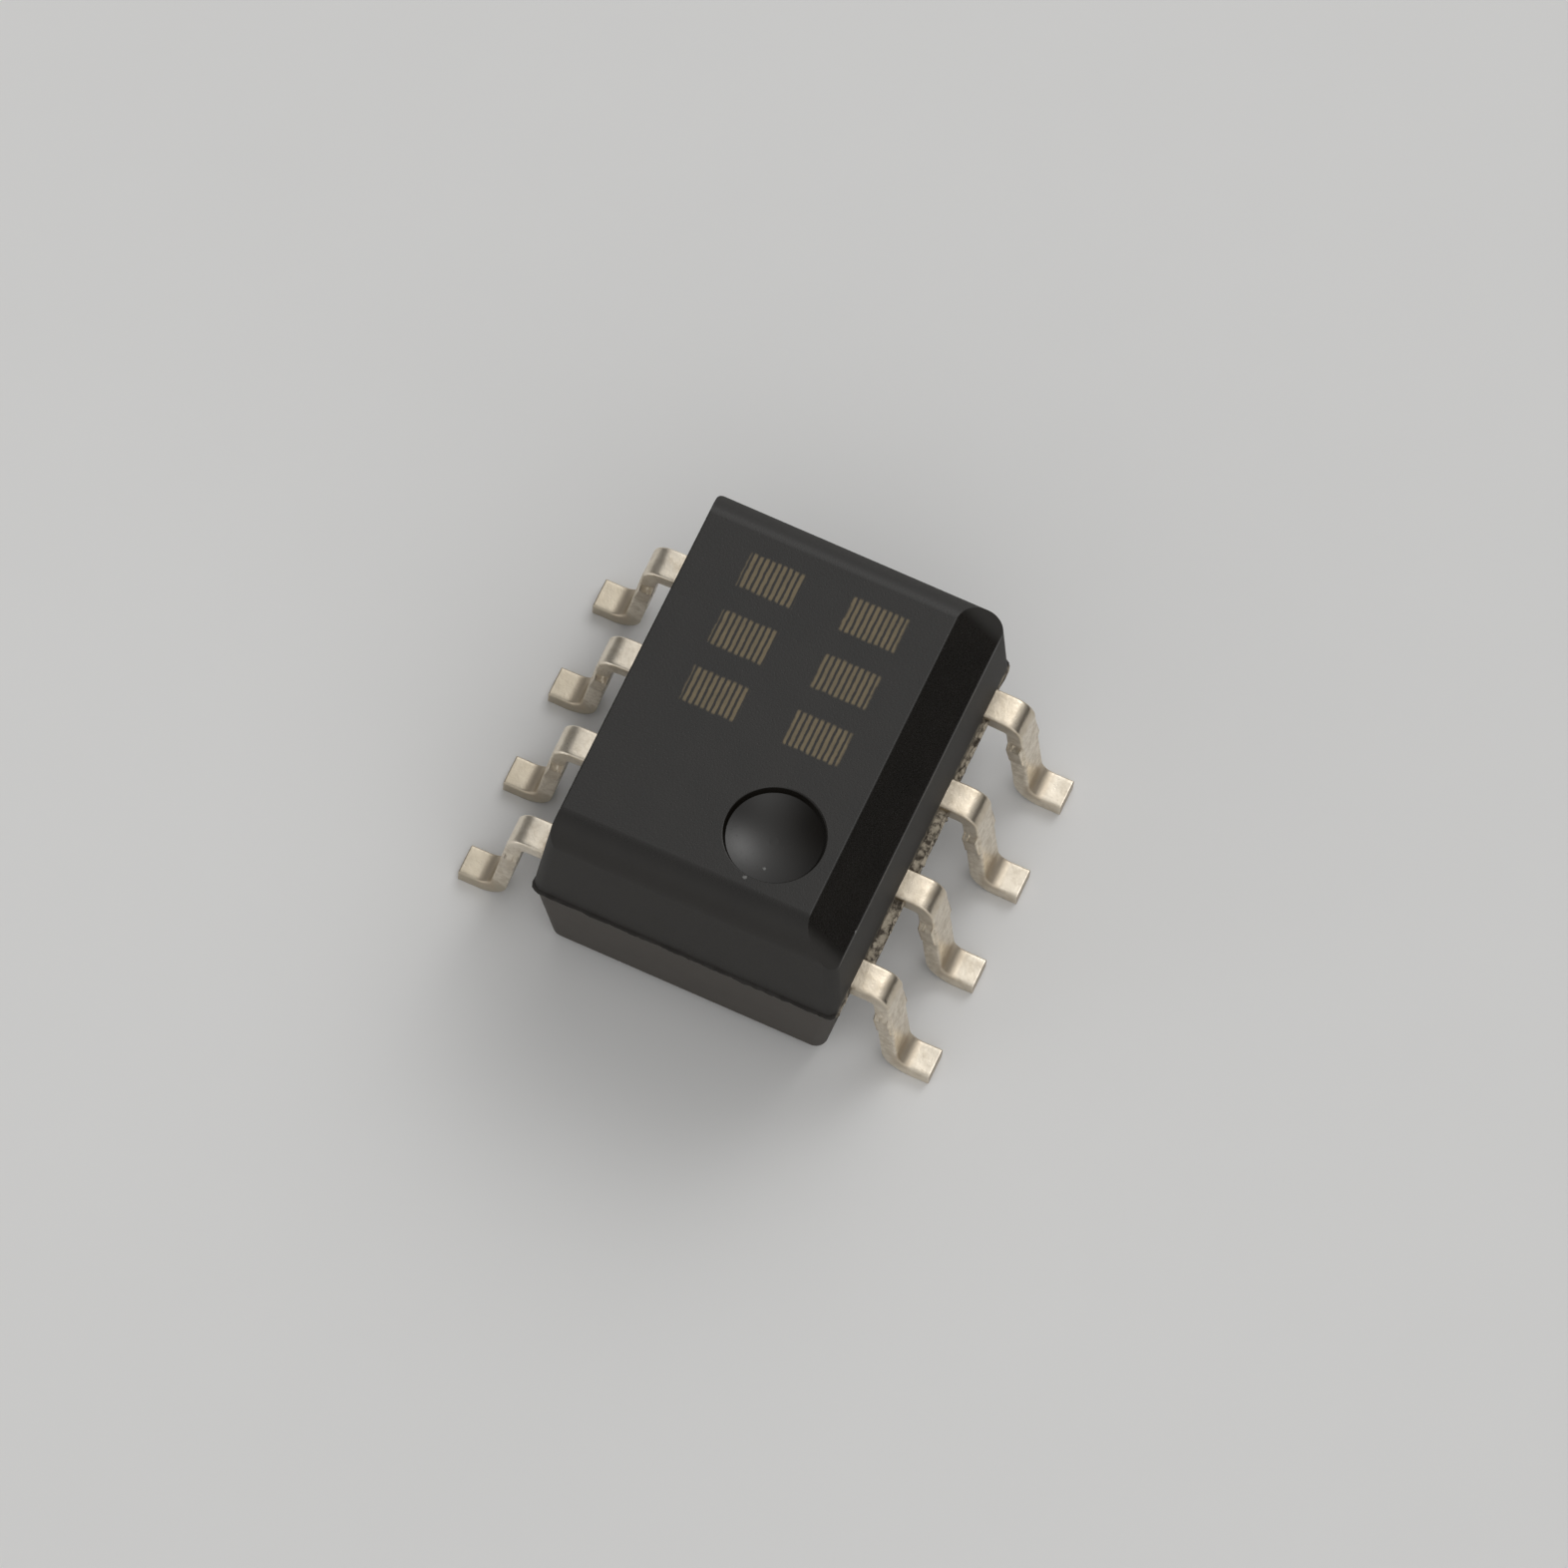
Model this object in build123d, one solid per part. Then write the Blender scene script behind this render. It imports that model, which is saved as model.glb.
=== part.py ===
from build123d import *
import os
from math import hypot, radians, tan

# An eight-lead surface-mount optocoupler in its tall small-outline package. Millimetres.
# X runs along the body and away from the pin 1 dimple, Y runs across the two rows of leads, Z is up.
# The origin is on the board under the middle of the package. Pins 1 to 4 are on the -Y side, from -X to +X,
# and pins 5 to 8 come back along the +Y side, from +X to -X.

# Moulded body: its plan is measured at the parting plane, where the two mould halves meet
body_length = 5.03
body_width = 3.93
body_height = 3.20
standoff = 0.20
lower_draft_angle = 7.0
upper_draft_angle = 5.0
upper_end_draft_angle = 2.5
corner_radius = 0.15
edge_radius = 0.035
upper_end_radius = 0.40
side_bevel = 0.50
flash_lip = 0.02
end_flash_lip = 0.05
flash_lip_thickness = 0.06

# Resin that the dam bar held back, left standing between leads 1 to 4, and broken off shorter beside lead 4
web_depth = 0.15
short_web_depth = 0.09
web_thickness = 0.12

# Pin 1 dimple: a short steep wall round a bowl-shaped floor
dimple_diameter = 1.21
dimple_wall = 0.13
dimple_depth = 0.20
dimple_wall_angle = 18.0
dimple_from_end = 1.10
dimple_from_bevel = 0.79

# Gull-wing leads, stamped from one strip
leads_per_side = 4
lead_pitch = 1.27
lead_width = 0.405
lead_thickness = 0.21
lead_span = 6.12
lead_height = 1.87
riser_tilt = 7.5
foot_reach = 0.40
shoulder_bend = 0.05
foot_bend = 0.18
stamped_edge = 0.035
dam_stub = 0.045
dam_stub_length = 0.45
dam_stub_below_shoulder = 0.25

# Inner ends of the leads. Distances from the wall are measured inwards from the body's widest plane.
step_from_wall = 0.52
step_slope = 45.0
step_bend = 0.04
anchor_depth = 0.75
anchor_width = 0.68
anchor_length = 0.24
emitter_finger_end = 0.05
output_finger_depth = 1.15
output_tab_width = 0.90
output_tab_length = 0.36
pad_corner = 0.05

# Emitter, face down on its raised pad, over the detector, face up on its lowered pad
emitter_pad_rise = 0.55
detector_pad_drop = 0.35
optic_offset = 0.22
emitter_size = 0.30
emitter_thickness = 0.18
emitter_pad_margin = 0.28
detector_length = 0.95
detector_width = 0.85
detector_thickness = 0.25
detector_pad_margin = 0.15
attach_thickness = 0.025
attach_margin = 0.03

# Clear silicone between the two chips
guide_margin = 0.05

# Bond wires: flats stand for their round
wire_diameter = 0.03
wire_sides = 8
ball_diameter = 0.08
ball_height = 0.03
loop_height = 0.12
emitter_loop_height = 0.08
bond_inset = 0.11

# Heights above the board
parting_height = lead_height - lead_thickness / 2
body_top = standoff + body_height
lead_underside = lead_height - lead_thickness
emitter_pad_underside = lead_underside + emitter_pad_rise
detector_pad_top = lead_height - detector_pad_drop
emitter_back = emitter_pad_underside - attach_thickness
emitter_face = emitter_back - emitter_thickness
detector_back = detector_pad_top + attach_thickness
detector_face = detector_back + detector_thickness

upper_draft = tan(radians(upper_draft_angle))
lower_draft = tan(radians(lower_draft_angle))
upper_end_draft = tan(radians(upper_end_draft_angle))
upper_end = body_length / 2 - (body_top - parting_height) * upper_end_draft
wall = body_width / 2
lead_stations = [(index - (leads_per_side - 1) / 2) * lead_pitch for index in range(leads_per_side)]


def draft_inset(height):
    """How far a drafted side has drawn in at a height above the board."""
    above_parting = height - parting_height
    return above_parting * upper_draft if above_parting > 0 else -above_parting * lower_draft


def mould_half(length, height):
    """One half of the moulding, from the parting plane to its flat, which has its own length."""
    widest = RectangleRounded(body_length, body_width, corner_radius)
    flat = RectangleRounded(length, body_width - 2 * draft_inset(height), corner_radius)
    return loft([Pos(0, 0, parting_height) * widest, Pos(0, 0, height) * flat])


def end_round():
    """The cutter that rounds the top edge of the +X end, seen from the side and drawn out across the body."""
    setback = upper_end_radius * tan(radians(90 - upper_end_draft_angle) / 2)
    down = Vector(upper_end_draft, -1).normalized()
    start = Vector(upper_end - setback, body_top)
    finish = Vector(upper_end, body_top) + down * setback
    clear = finish + (upper_end_radius, 0)
    above = start + (0, upper_end_radius)
    outline = TangentArc(start, finish, tangent=(1, 0)) + Polyline(finish, clear, (clear.X, above.Y), above, start)
    return extrude(Plane.XZ * make_face(outline), amount=body_width, both=True)


def dimple(rim):
    """The cutter for the pin 1 dimple, turned about its own axis at the rim's centre."""
    radius = dimple_diameter / 2
    floor_radius = radius - dimple_wall * tan(radians(dimple_wall_angle))
    wall_line = Polyline((0, 0), (radius, 0), (floor_radius, -dimple_wall))
    bowl_depth = dimple_depth - dimple_wall
    bowl_radius = (floor_radius**2 + bowl_depth**2) / (2 * bowl_depth)
    half_way = floor_radius / 2
    sag = bowl_radius - (bowl_radius**2 - half_way**2) ** 0.5
    floor = ThreePointArc((floor_radius, -dimple_wall), (half_way, sag - dimple_depth), (0, -dimple_depth))
    axis_line = Line((0, -dimple_depth), (0, 0))
    section = make_face(wall_line + floor + axis_line)
    return Pos(*rim) * revolve(Plane.XZ * section, Axis.Z)


def moulded_body():
    body = mould_half(2 * upper_end, body_top)
    body += mould_half(body_length - 2 * draft_inset(standoff), standoff)
    bevel_edge = wall - draft_inset(body_top - side_bevel) - side_bevel
    bevel = Plane(origin=(0, -bevel_edge, body_top), z_dir=(0, -1, 1))
    body = split(body, bisect_by=bevel, keep=Keep.BOTTOM)
    flats = body.faces().sort_by(Axis.Z)
    bevel_face = body.faces().sort_by(Axis((0, 0, 0), (0, -1, 1)))[-1]
    rims = flats[0].edges() + flats[-1].edges() + bevel_face.edges()
    body = fillet(ShapeList(set(rims)), edge_radius)
    body -= end_round() + mirror(end_round(), about=Plane.YZ)
    lip = RectangleRounded(body_length + 2 * end_flash_lip, body_width + 2 * flash_lip, corner_radius)
    body += Pos(0, 0, parting_height) * extrude(lip, amount=flash_lip_thickness / 2, both=True)
    for station, depth in zip(lead_stations, [web_depth, web_depth, short_web_depth]):
        web = Rectangle(lead_pitch, wall + depth, align=(Align.MIN, Align.MAX))
        body += Pos(station, 0, parting_height) * extrude(web, amount=web_thickness / 2, both=True)
    return body - dimple((dimple_from_end - upper_end, dimple_from_bevel - bevel_edge, body_top))


def strip_corners(inner_end, rise=0.0):
    """The corners of a formed strip's upper face, seen from its edge, and the inside radius of each bend.

    A corner is a distance out from the middle, then a height.
    """
    toe = lead_span / 2
    heel = toe - foot_reach
    shoulder = heel - (lead_height - lead_thickness) * tan(radians(riser_tilt))
    corners = [(shoulder, lead_height), (heel, lead_thickness), (toe, lead_thickness)]
    bends = [shoulder_bend, foot_bend]
    if rise == 0:
        return [(inner_end, lead_height)] + corners, bends
    step_out = wall - step_from_wall
    step_in = step_out - abs(rise) / tan(radians(step_slope))
    level = lead_height + rise
    steps = [(inner_end, level), (step_in, level), (step_out, lead_height)]
    return steps + corners, [step_bend, step_bend] + bends


def strip_lines(corners, bends):
    """The upper and lower outlines of a strip of even thickness, bent at each of its inner corners."""
    points = [Vector(*corner) for corner in corners]
    runs = [(end - start).normalized() for start, end in zip(points, points[1:])]
    downs = [run.rotate(Axis.Z, -90) for run in runs]
    sides = zip(points, downs[:1] + downs, downs + downs[-1:])
    lower_points = [point + (a + b) * lead_thickness / (1 + a.dot(b)) for point, a, b in sides]
    turns_down = [run.cross(following).Z < 0 for run, following in zip(runs, runs[1:])]
    upper_radii = [bend + lead_thickness * down for bend, down in zip(bends, turns_down)]
    lower_radii = [bend + lead_thickness * (not down) for bend, down in zip(bends, turns_down)]
    return FilletPolyline(points, radius=upper_radii), FilletPolyline(lower_points, radius=lower_radii)


def lies_on(line, point):
    """Whether a point of a strip, seen from the strip's edge, is on a line of its section."""
    return line.distance_to(Vertex(point.Y, point.Z, 0)) < lead_thickness / 100


def formed_strip(inner_end, rise=0.0):
    """One lead along +Y: its bent section drawn out to the lead's width, then its upper edges broken.

    The dam bar was cut away below the shoulder, and leaves the riser a little wider there.
    """
    upper_line, lower_line = strip_lines(*strip_corners(inner_end, rise))
    ends = Line(upper_line @ 0, lower_line @ 0) + Line(upper_line @ 1, lower_line @ 1)
    section = make_face(upper_line + lower_line + ends)
    strip = extrude(Plane.YZ * section, amount=lead_width / 2, both=True)
    side_faces = strip.faces().filter_by(Axis.X)
    upper = [edge for edge in side_faces.edges() if lies_on(upper_line, edge.center())]
    strip = chamfer(upper, stamped_edge)
    outside = lead_span / 2 - wall
    stub_height = lead_underside - dam_stub_below_shoulder - dam_stub_length / 2
    stub = section & (Pos(wall + outside / 2, stub_height) * Rectangle(outside, dam_stub_length))
    return strip + extrude(Plane.YZ * stub, amount=lead_width / 2 + dam_stub, both=True)


def plate(x_low, x_high, y_low, y_high, underside):
    """A flat piece of the lead strip between four edges."""
    outline = RectangleRounded(x_high - x_low, y_high - y_low, pad_corner)
    middle = Pos((x_low + x_high) / 2, (y_low + y_high) / 2, underside)
    return middle * extrude(outline, amount=lead_thickness)


def lead_x(number):
    """Pins 1 to 4 run along +X, and pins 5 to 8 run back."""
    station = number - 1 if number <= leads_per_side else 2 * leads_per_side - number
    return lead_stations[station]


def placed_strip(number, inner_end, rise=0.0):
    """A strip in its place in its row. inner_end is where it stops, measured out from the middle."""
    turn = 180 if number <= leads_per_side else 0
    return Pos(lead_x(number), 0, 0) * Rot(0, 0, turn) * formed_strip(inner_end, rise)


def anchored_lead(number):
    """An unconnected lead, held in the moulding by a cross-piece on its inner end."""
    inner_end = wall - anchor_depth
    x = lead_x(number)
    side = -1 if number <= leads_per_side else 1
    edges = sorted([side * inner_end, side * (inner_end + anchor_length)])
    bar = plate(x - anchor_width / 2, x + anchor_width / 2, *edges, lead_underside)
    return placed_strip(number, inner_end) + bar


def emitter_lead(number):
    """The lead that carries the emitter: it steps up in the body and widens into a pad over the detector."""
    reach = emitter_size / 2 + emitter_pad_margin
    outer_side = lead_x(number) + lead_width / 2
    pad = plate(optic_offset - reach, outer_side, -reach, reach, emitter_pad_underside)
    return placed_strip(number, -reach + pad_corner, emitter_pad_rise) + pad


def detector_lead(number):
    """The lead that carries the detector: it steps down inside the body and runs along under the emitter."""
    reach_x = detector_length / 2 + detector_pad_margin
    reach_y = detector_width / 2 + detector_pad_margin
    outer_side = lead_x(number) + lead_width / 2
    underside = detector_pad_top - lead_thickness
    pad = plate(optic_offset - reach_x, outer_side, -reach_y, reach_y, underside)
    return placed_strip(number, reach_y - pad_corner, -detector_pad_drop) + pad


def supply_lead(number):
    """An output lead whose inner end turns along the body towards the detector."""
    inner_end = wall - output_finger_depth
    low = lead_x(number) - lead_width / 2
    tab = plate(low, low + output_tab_width, inner_end, inner_end + output_tab_length, lead_underside)
    return placed_strip(number, inner_end) + tab


def chip(length, width, thickness, back):
    """A chip, or the adhesive under it, on the optical axis."""
    return Pos(optic_offset, 0, back) * extrude(Rectangle(length, width), amount=thickness)


def light_guide():
    """A round column of clear silicone, cast between the emitter's pad and the detector."""
    radius = hypot(emitter_size, emitter_size) / 2 + guide_margin
    column = extrude(Circle(radius), amount=emitter_pad_underside - detector_face)
    return Pos(optic_offset, 0, detector_face) * column


def bond_wire(ball_at, stitch_at, loop, up=1):
    """A wire that leaves its ball square to the chip, runs level and meets the lead square."""
    crest = up * (max(up * ball_at[2], up * stitch_at[2]) + loop)
    over_ball = (ball_at[0], ball_at[1], crest)
    over_stitch = (stitch_at[0], stitch_at[1], crest)
    path = Polyline(ball_at, over_ball, over_stitch, stitch_at)
    start = Plane(origin=ball_at, z_dir=(0, 0, up))
    section = RegularPolygon(wire_diameter / 2, wire_sides, major_radius=False)
    wire = sweep(start * section, path=path, transition=Transition.RIGHT)
    return wire + extrude(start * Circle(ball_diameter / 2), amount=ball_height)


def bond_wires():
    """One wire from the emitter to its second lead, and one from each corner of the detector."""
    bond_x = detector_length / 2 - bond_inset
    bond_y = detector_width / 2 - bond_inset
    finger_y = wall - output_finger_depth + bond_inset
    right, left = optic_offset + bond_x, optic_offset - bond_x
    tab_x = lead_x(8) - lead_width / 2 + output_tab_width - bond_inset
    ground_x = optic_offset + detector_length / 2 + attach_margin + bond_inset
    routes = {
        "output_wire": ((right, bond_y, detector_face), (lead_x(6), finger_y, lead_height)),
        "enable_wire": ((left, bond_y, detector_face), (lead_x(7), finger_y, lead_height)),
        "supply_wire": ((left, 0, detector_face), (tab_x, finger_y, lead_height)),
        "ground_wire": ((right, -bond_y, detector_face), (ground_x, -bond_y, detector_pad_top)),
    }
    wires = {name: bond_wire(*ends, loop_height) for name, ends in routes.items()}
    emitter_ball = (optic_offset, 0, emitter_face)
    emitter_stitch = (lead_x(2), -(emitter_finger_end + bond_inset), emitter_pad_underside)
    wires["emitter_wire"] = bond_wire(emitter_ball, emitter_stitch, emitter_loop_height, up=-1)
    return wires


def lead_frame():
    """The eight leads, each with the inner end that its pin needs."""
    output_end = wall - output_finger_depth
    return {
        "lead_1": anchored_lead(1),
        "lead_2": placed_strip(2, emitter_finger_end, emitter_pad_rise),
        "lead_3": emitter_lead(3),
        "lead_4": anchored_lead(4),
        "lead_5": detector_lead(5),
        "lead_6": placed_strip(6, output_end),
        "lead_7": placed_strip(7, output_end),
        "lead_8": supply_lead(8),
    }


def chips():
    """The two chips and the adhesive that holds each to its pad."""
    spread = 2 * attach_margin
    emitter_glue = emitter_size + spread
    return {
        "emitter_chip": chip(emitter_size, emitter_size, emitter_thickness, emitter_face),
        "emitter_adhesive": chip(emitter_glue, emitter_glue, attach_thickness, emitter_back),
        "detector_chip": chip(detector_length, detector_width, detector_thickness, detector_back),
        "detector_adhesive": chip(
            detector_length + spread, detector_width + spread, attach_thickness, detector_pad_top
        ),
    }


def without(piece, inserts):
    """A cast or moulded piece with the room that the pieces inside it take up."""
    for insert in inserts:
        piece -= insert
    return piece


parts = lead_frame() | chips() | bond_wires()
parts["light_guide"] = without(
    light_guide(), [parts["emitter_chip"], parts["emitter_adhesive"], parts["emitter_wire"]]
)
parts["moulded_body"] = without(moulded_body(), list(parts.values()))

os.makedirs("parts", exist_ok=True)
for name, piece in parts.items():
    piece.label = name
    export_step(piece, f"parts/{name}.step")
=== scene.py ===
import bmesh
import bpy
import math
from mathutils import Matrix, Vector


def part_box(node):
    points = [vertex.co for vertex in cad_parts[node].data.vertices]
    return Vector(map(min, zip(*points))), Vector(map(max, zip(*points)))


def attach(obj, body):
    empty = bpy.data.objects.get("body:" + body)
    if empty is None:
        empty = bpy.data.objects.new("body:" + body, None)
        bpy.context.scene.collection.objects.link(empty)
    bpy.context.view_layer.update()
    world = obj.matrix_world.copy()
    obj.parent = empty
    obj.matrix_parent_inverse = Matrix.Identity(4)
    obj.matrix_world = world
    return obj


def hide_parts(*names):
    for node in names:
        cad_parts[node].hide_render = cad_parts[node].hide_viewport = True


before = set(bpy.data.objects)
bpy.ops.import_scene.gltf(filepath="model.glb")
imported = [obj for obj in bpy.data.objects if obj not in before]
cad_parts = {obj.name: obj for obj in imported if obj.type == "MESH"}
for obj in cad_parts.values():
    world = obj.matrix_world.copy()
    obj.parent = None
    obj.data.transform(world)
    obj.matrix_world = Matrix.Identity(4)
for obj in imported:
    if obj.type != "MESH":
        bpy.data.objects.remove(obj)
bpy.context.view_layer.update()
perMetre = 1000.0  # pieces are shaped in millimetres and brought down to metres when they are done


def nodeBox(name):
    low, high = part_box(name)
    return low * perMetre, high * perMetre


bodyLow, bodyHigh = nodeBox("moulded_body")
leadLow, leadHigh = nodeBox("lead_6")
leadStations = {number: sum(corner.x for corner in nodeBox(f"lead_{number}")) / 2 for number in (6, 7)}
leadPitch = leadStations[6] - leadStations[7]
print("frame loaded, body", [round(side, 3) for side in bodyHigh - bodyLow], "pitch", round(leadPitch, 3))


# selecting and shaping in edit mode

def objectMode():
    if bpy.context.object and bpy.context.object.mode != "OBJECT":
        bpy.ops.object.mode_set(mode="OBJECT")


def selectOnly(*pieces):
    objectMode()
    bpy.ops.object.select_all(action="DESELECT")
    for piece in pieces:
        piece.select_set(True)
    bpy.context.view_layer.objects.active = pieces[0]


def startPiece(name):
    # takes the primitive that was just added, puts its place into its mesh and opens it
    piece = bpy.context.object
    piece.name = name
    selectOnly(piece)
    bpy.ops.object.transform_apply(location=True, rotation=True, scale=True)
    bpy.ops.object.mode_set(mode="EDIT")
    return piece


def pick(kind, test):
    bpy.ops.mesh.select_mode(type=kind)
    bpy.ops.mesh.select_all(action="DESELECT")
    mesh = bmesh.from_edit_mesh(bpy.context.object.data)
    mesh.normal_update()
    for item in {"VERT": mesh.verts, "EDGE": mesh.edges, "FACE": mesh.faces}[kind]:
        if test(item):
            item.select_set(True)
    mesh.select_flush_mode()
    bmesh.update_edit_mesh(bpy.context.object.data)


def middle(edge):
    return (edge.verts[0].co + edge.verts[1].co) / 2


def along(edge):
    return edge.verts[1].co - edge.verts[0].co


def extrudeBy(step, count=1):
    for _ in range(count):
        bpy.ops.mesh.extrude_region_move(TRANSFORM_OT_translate={"value": tuple(step / count)})


def closePiece(weld=1e-5):
    bpy.ops.mesh.select_all(action="SELECT")
    bpy.ops.mesh.remove_doubles(threshold=weld)
    bpy.ops.mesh.normals_make_consistent(inside=False)
    bpy.ops.object.mode_set(mode="OBJECT")


def applyModifier(piece, kind, **settings):
    selectOnly(piece)
    modifier = piece.modifiers.new(kind.lower(), kind)
    for name, value in settings.items():
        setattr(modifier, name, value)
    bpy.ops.object.modifier_apply(modifier=modifier.name)


def combine(piece, other, operation):
    applyModifier(piece, "BOOLEAN", operation=operation, solver="EXACT", object=other)
    bpy.data.objects.remove(other)


def cloudTexture(name, size, depth=2):
    texture = bpy.data.textures.new(name, "CLOUDS")
    texture.noise_scale = size
    texture.noise_depth = depth
    return texture


shading = {"smoothAngle": 35, "areaWeight": 50}


def finishPiece(piece, material, slot, *nodes):
    # brings a piece down to metres and hands it to the frame
    selectOnly(piece)
    piece.scale = (1 / perMetre,) * 3
    bpy.ops.object.transform_apply(location=True, rotation=True, scale=True)
    bpy.ops.object.shade_smooth_by_angle(angle=math.radians(shading["smoothAngle"]))
    applyModifier(piece, "WEIGHTED_NORMAL", mode="FACE_AREA", weight=shading["areaWeight"], keep_sharp=True)
    piece.data.materials.clear()
    piece.data.materials.append(material)
    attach(piece, "root")
    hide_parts(*nodes)
    return piece


# shader maths: a Shade is one socket of a node tree, and arithmetic on it adds Math nodes

class Shade:
    def __init__(self, tree, socket=None):
        self.tree = tree
        self.socket = socket

    def node(self, kind, settings=None, inputs=None, out=0):
        made = self.tree.nodes.new("ShaderNode" + kind)
        for name, value in (settings or {}).items():
            setattr(made, name, value)
        for name, value in (inputs or {}).items():
            if isinstance(value, Shade):
                self.tree.links.new(value.socket, made.inputs[name])
            else:
                made.inputs[name].default_value = value
        return Shade(self.tree, made.outputs[out])

    def math(self, operation, first, second=0.0):
        return self.node("Math", {"operation": operation}, {0: first, 1: second})

    def __add__(self, other):
        return self.math("ADD", self, other)

    __radd__ = __add__

    def __sub__(self, other):
        return self.math("SUBTRACT", self, other)

    def __rsub__(self, other):
        return self.math("SUBTRACT", other, self)

    def __mul__(self, other):
        return self.math("MULTIPLY", self, other)

    __rmul__ = __mul__

    def __truediv__(self, other):
        return self.math("DIVIDE", self, other)

    def __pow__(self, other):
        return self.math("POWER", self, other)

    def __abs__(self):
        return self.math("ABSOLUTE", self)

    def atLeast(self, other):
        return self.math("MAXIMUM", self, other)

    def ease(self, low, high):
        # 0 below low, 1 above high
        limits = {"Value": self, "From Min": low, "From Max": high}
        return self.node("MapRange", {"interpolation_type": "SMOOTHSTEP"}, limits)

    def blend(self, low, high):
        # this value mixes two colours
        return self.node("Mix", {"data_type": "RGBA"}, {0: self, 6: low, 7: high}, out=2)

    def axes(self):
        split = self.node("SeparateXYZ", inputs={0: self}).socket.node
        return [Shade(self.tree, output) for output in split.outputs]

    def noise(self, scale, detail=2.0, roughness=0.5):
        inputs = {"Vector": self, "Scale": scale, "Detail": detail, "Roughness": roughness}
        return self.node("TexNoise", inputs=inputs)

    def cells(self, scale):
        # distance to the nearest of many scattered points
        return self.node("TexVoronoi", inputs={"Vector": self, "Scale": scale})


def rgb(red, green, blue):
    return (red, green, blue, 1.0)


def millimetres(tree):
    place = Shade(tree).node("TexCoord", out="Object")
    return place.node("VectorMath", {"operation": "SCALE"}, {0: place, "Scale": perMetre})


def newMaterial(name):
    material = bpy.data.materials.new(name)
    material.use_nodes = True
    material.node_tree.nodes.clear()
    return material, millimetres(material.node_tree)


def surface(place, height, bumpStrength, bumpDepth, **inputs):
    # the shader itself; bumpDepth is in millimetres
    bumped = {"Strength": bumpStrength, "Distance": bumpDepth / perMetre, "Height": height}
    named = {name.replace("_", " "): value for name, value in inputs.items()}
    shader = place.node("BsdfPrincipled", inputs={**named, "Normal": place.node("Bump", inputs=bumped)})
    endWith(place, shader)


def endWith(place, shader):
    output = place.tree.nodes.new("ShaderNodeOutputMaterial")
    place.tree.links.new(shader.socket, output.inputs["Surface"])


# moulded body

mouldForm = {
    "lip": 0.02,  # how far the flash stands out at the sides
    "endLip": 0.05,  # and at the ends
    "lipThickness": 0.06,
    "lipTear": (0.10, 0.035),  # size and depth of the tears in its edge
    "webs": (0.15, 0.15, 0.09),  # broken resin between leads 1 to 4
    "webThickness": 0.12,
    "webRoot": 0.08,
    "webRoom": 0.30,  # left for a lead
    "webTear": (0.09, 0.09),
    "parting": 1.765,
    "draft": 5.0,  # of the upper half's sides
    "endDraft": 2.5,  # and of its ends
    "lowerDraft": 7.0,
    "corner": 0.15,
    "cornerSteps": 10,
    "rim": 0.016,
    "endRound": 0.40,
    "endRoundSteps": 32,
    "bevel": 0.50,
    "dimpleDiameter": 1.21,
    "dimpleWall": 0.10,
    "dimpleDepth": 0.20,
    "dimpleWallAngle": 18.0,
    "dimpleFromEnd": 1.10,
    "dimpleFromBevel": 0.79,
    "dimpleRim": 0.012,
    "dimpleSides": 128,
    "dimpleRings": 10,
}

bodyLength = 2 * (bodyHigh.x - mouldForm["endLip"])
bodyWidth = 2 * (bodyHigh.y - mouldForm["lip"])
draftSlope = math.tan(math.radians(mouldForm["draft"]))
endSlope = math.tan(math.radians(mouldForm["endDraft"]))
upperHeight = bodyHigh.z - mouldForm["parting"]
lowerHeight = mouldForm["parting"] - bodyLow.z
upperEnd = bodyLength / 2 - upperHeight * endSlope
upperSide = bodyWidth / 2 - upperHeight * draftSlope
bevelEdge = upperSide + mouldForm["bevel"] * (draftSlope - 1)
dimpleCentre = Vector((mouldForm["dimpleFromEnd"] - upperEnd, mouldForm["dimpleFromBevel"] - bevelEdge, bodyHigh.z))


def drawIn(height, length, width, newLength, newWidth):
    # narrows the level at a height, as the mould's draft does
    pick("VERT", lambda vert: abs(vert.co.z - height) < 1e-4)
    bpy.ops.transform.resize(value=(newLength / length, newWidth / width, 1), center_override=(0, 0, height))


def endRounder():
    # a wide block with the same ends as the upper half and with its two top edges rounded
    slack = 0.0001
    depth = 2.0
    low = mouldForm["parting"] - depth
    lowEnd = bodyLength / 2 + depth * endSlope + slack
    bpy.ops.mesh.primitive_cube_add(size=1, location=(0, 0, (low + bodyHigh.z + slack) / 2))
    bpy.context.object.scale = (2 * lowEnd, 3 * bodyWidth, bodyHigh.z + slack - low)
    rounder = startPiece("endRounder")
    drawIn(bodyHigh.z + slack, lowEnd, 1, upperEnd + slack, 1)
    pick("EDGE", lambda edge: abs(along(edge).y) > 1 and middle(edge).z > bodyHigh.z - 0.1)
    setback = mouldForm["endRound"] * math.tan(math.radians(90 - mouldForm["endDraft"]) / 2)
    bpy.ops.mesh.bevel(offset=setback, segments=mouldForm["endRoundSteps"], affect="EDGES")
    closePiece()
    return rounder


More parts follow.
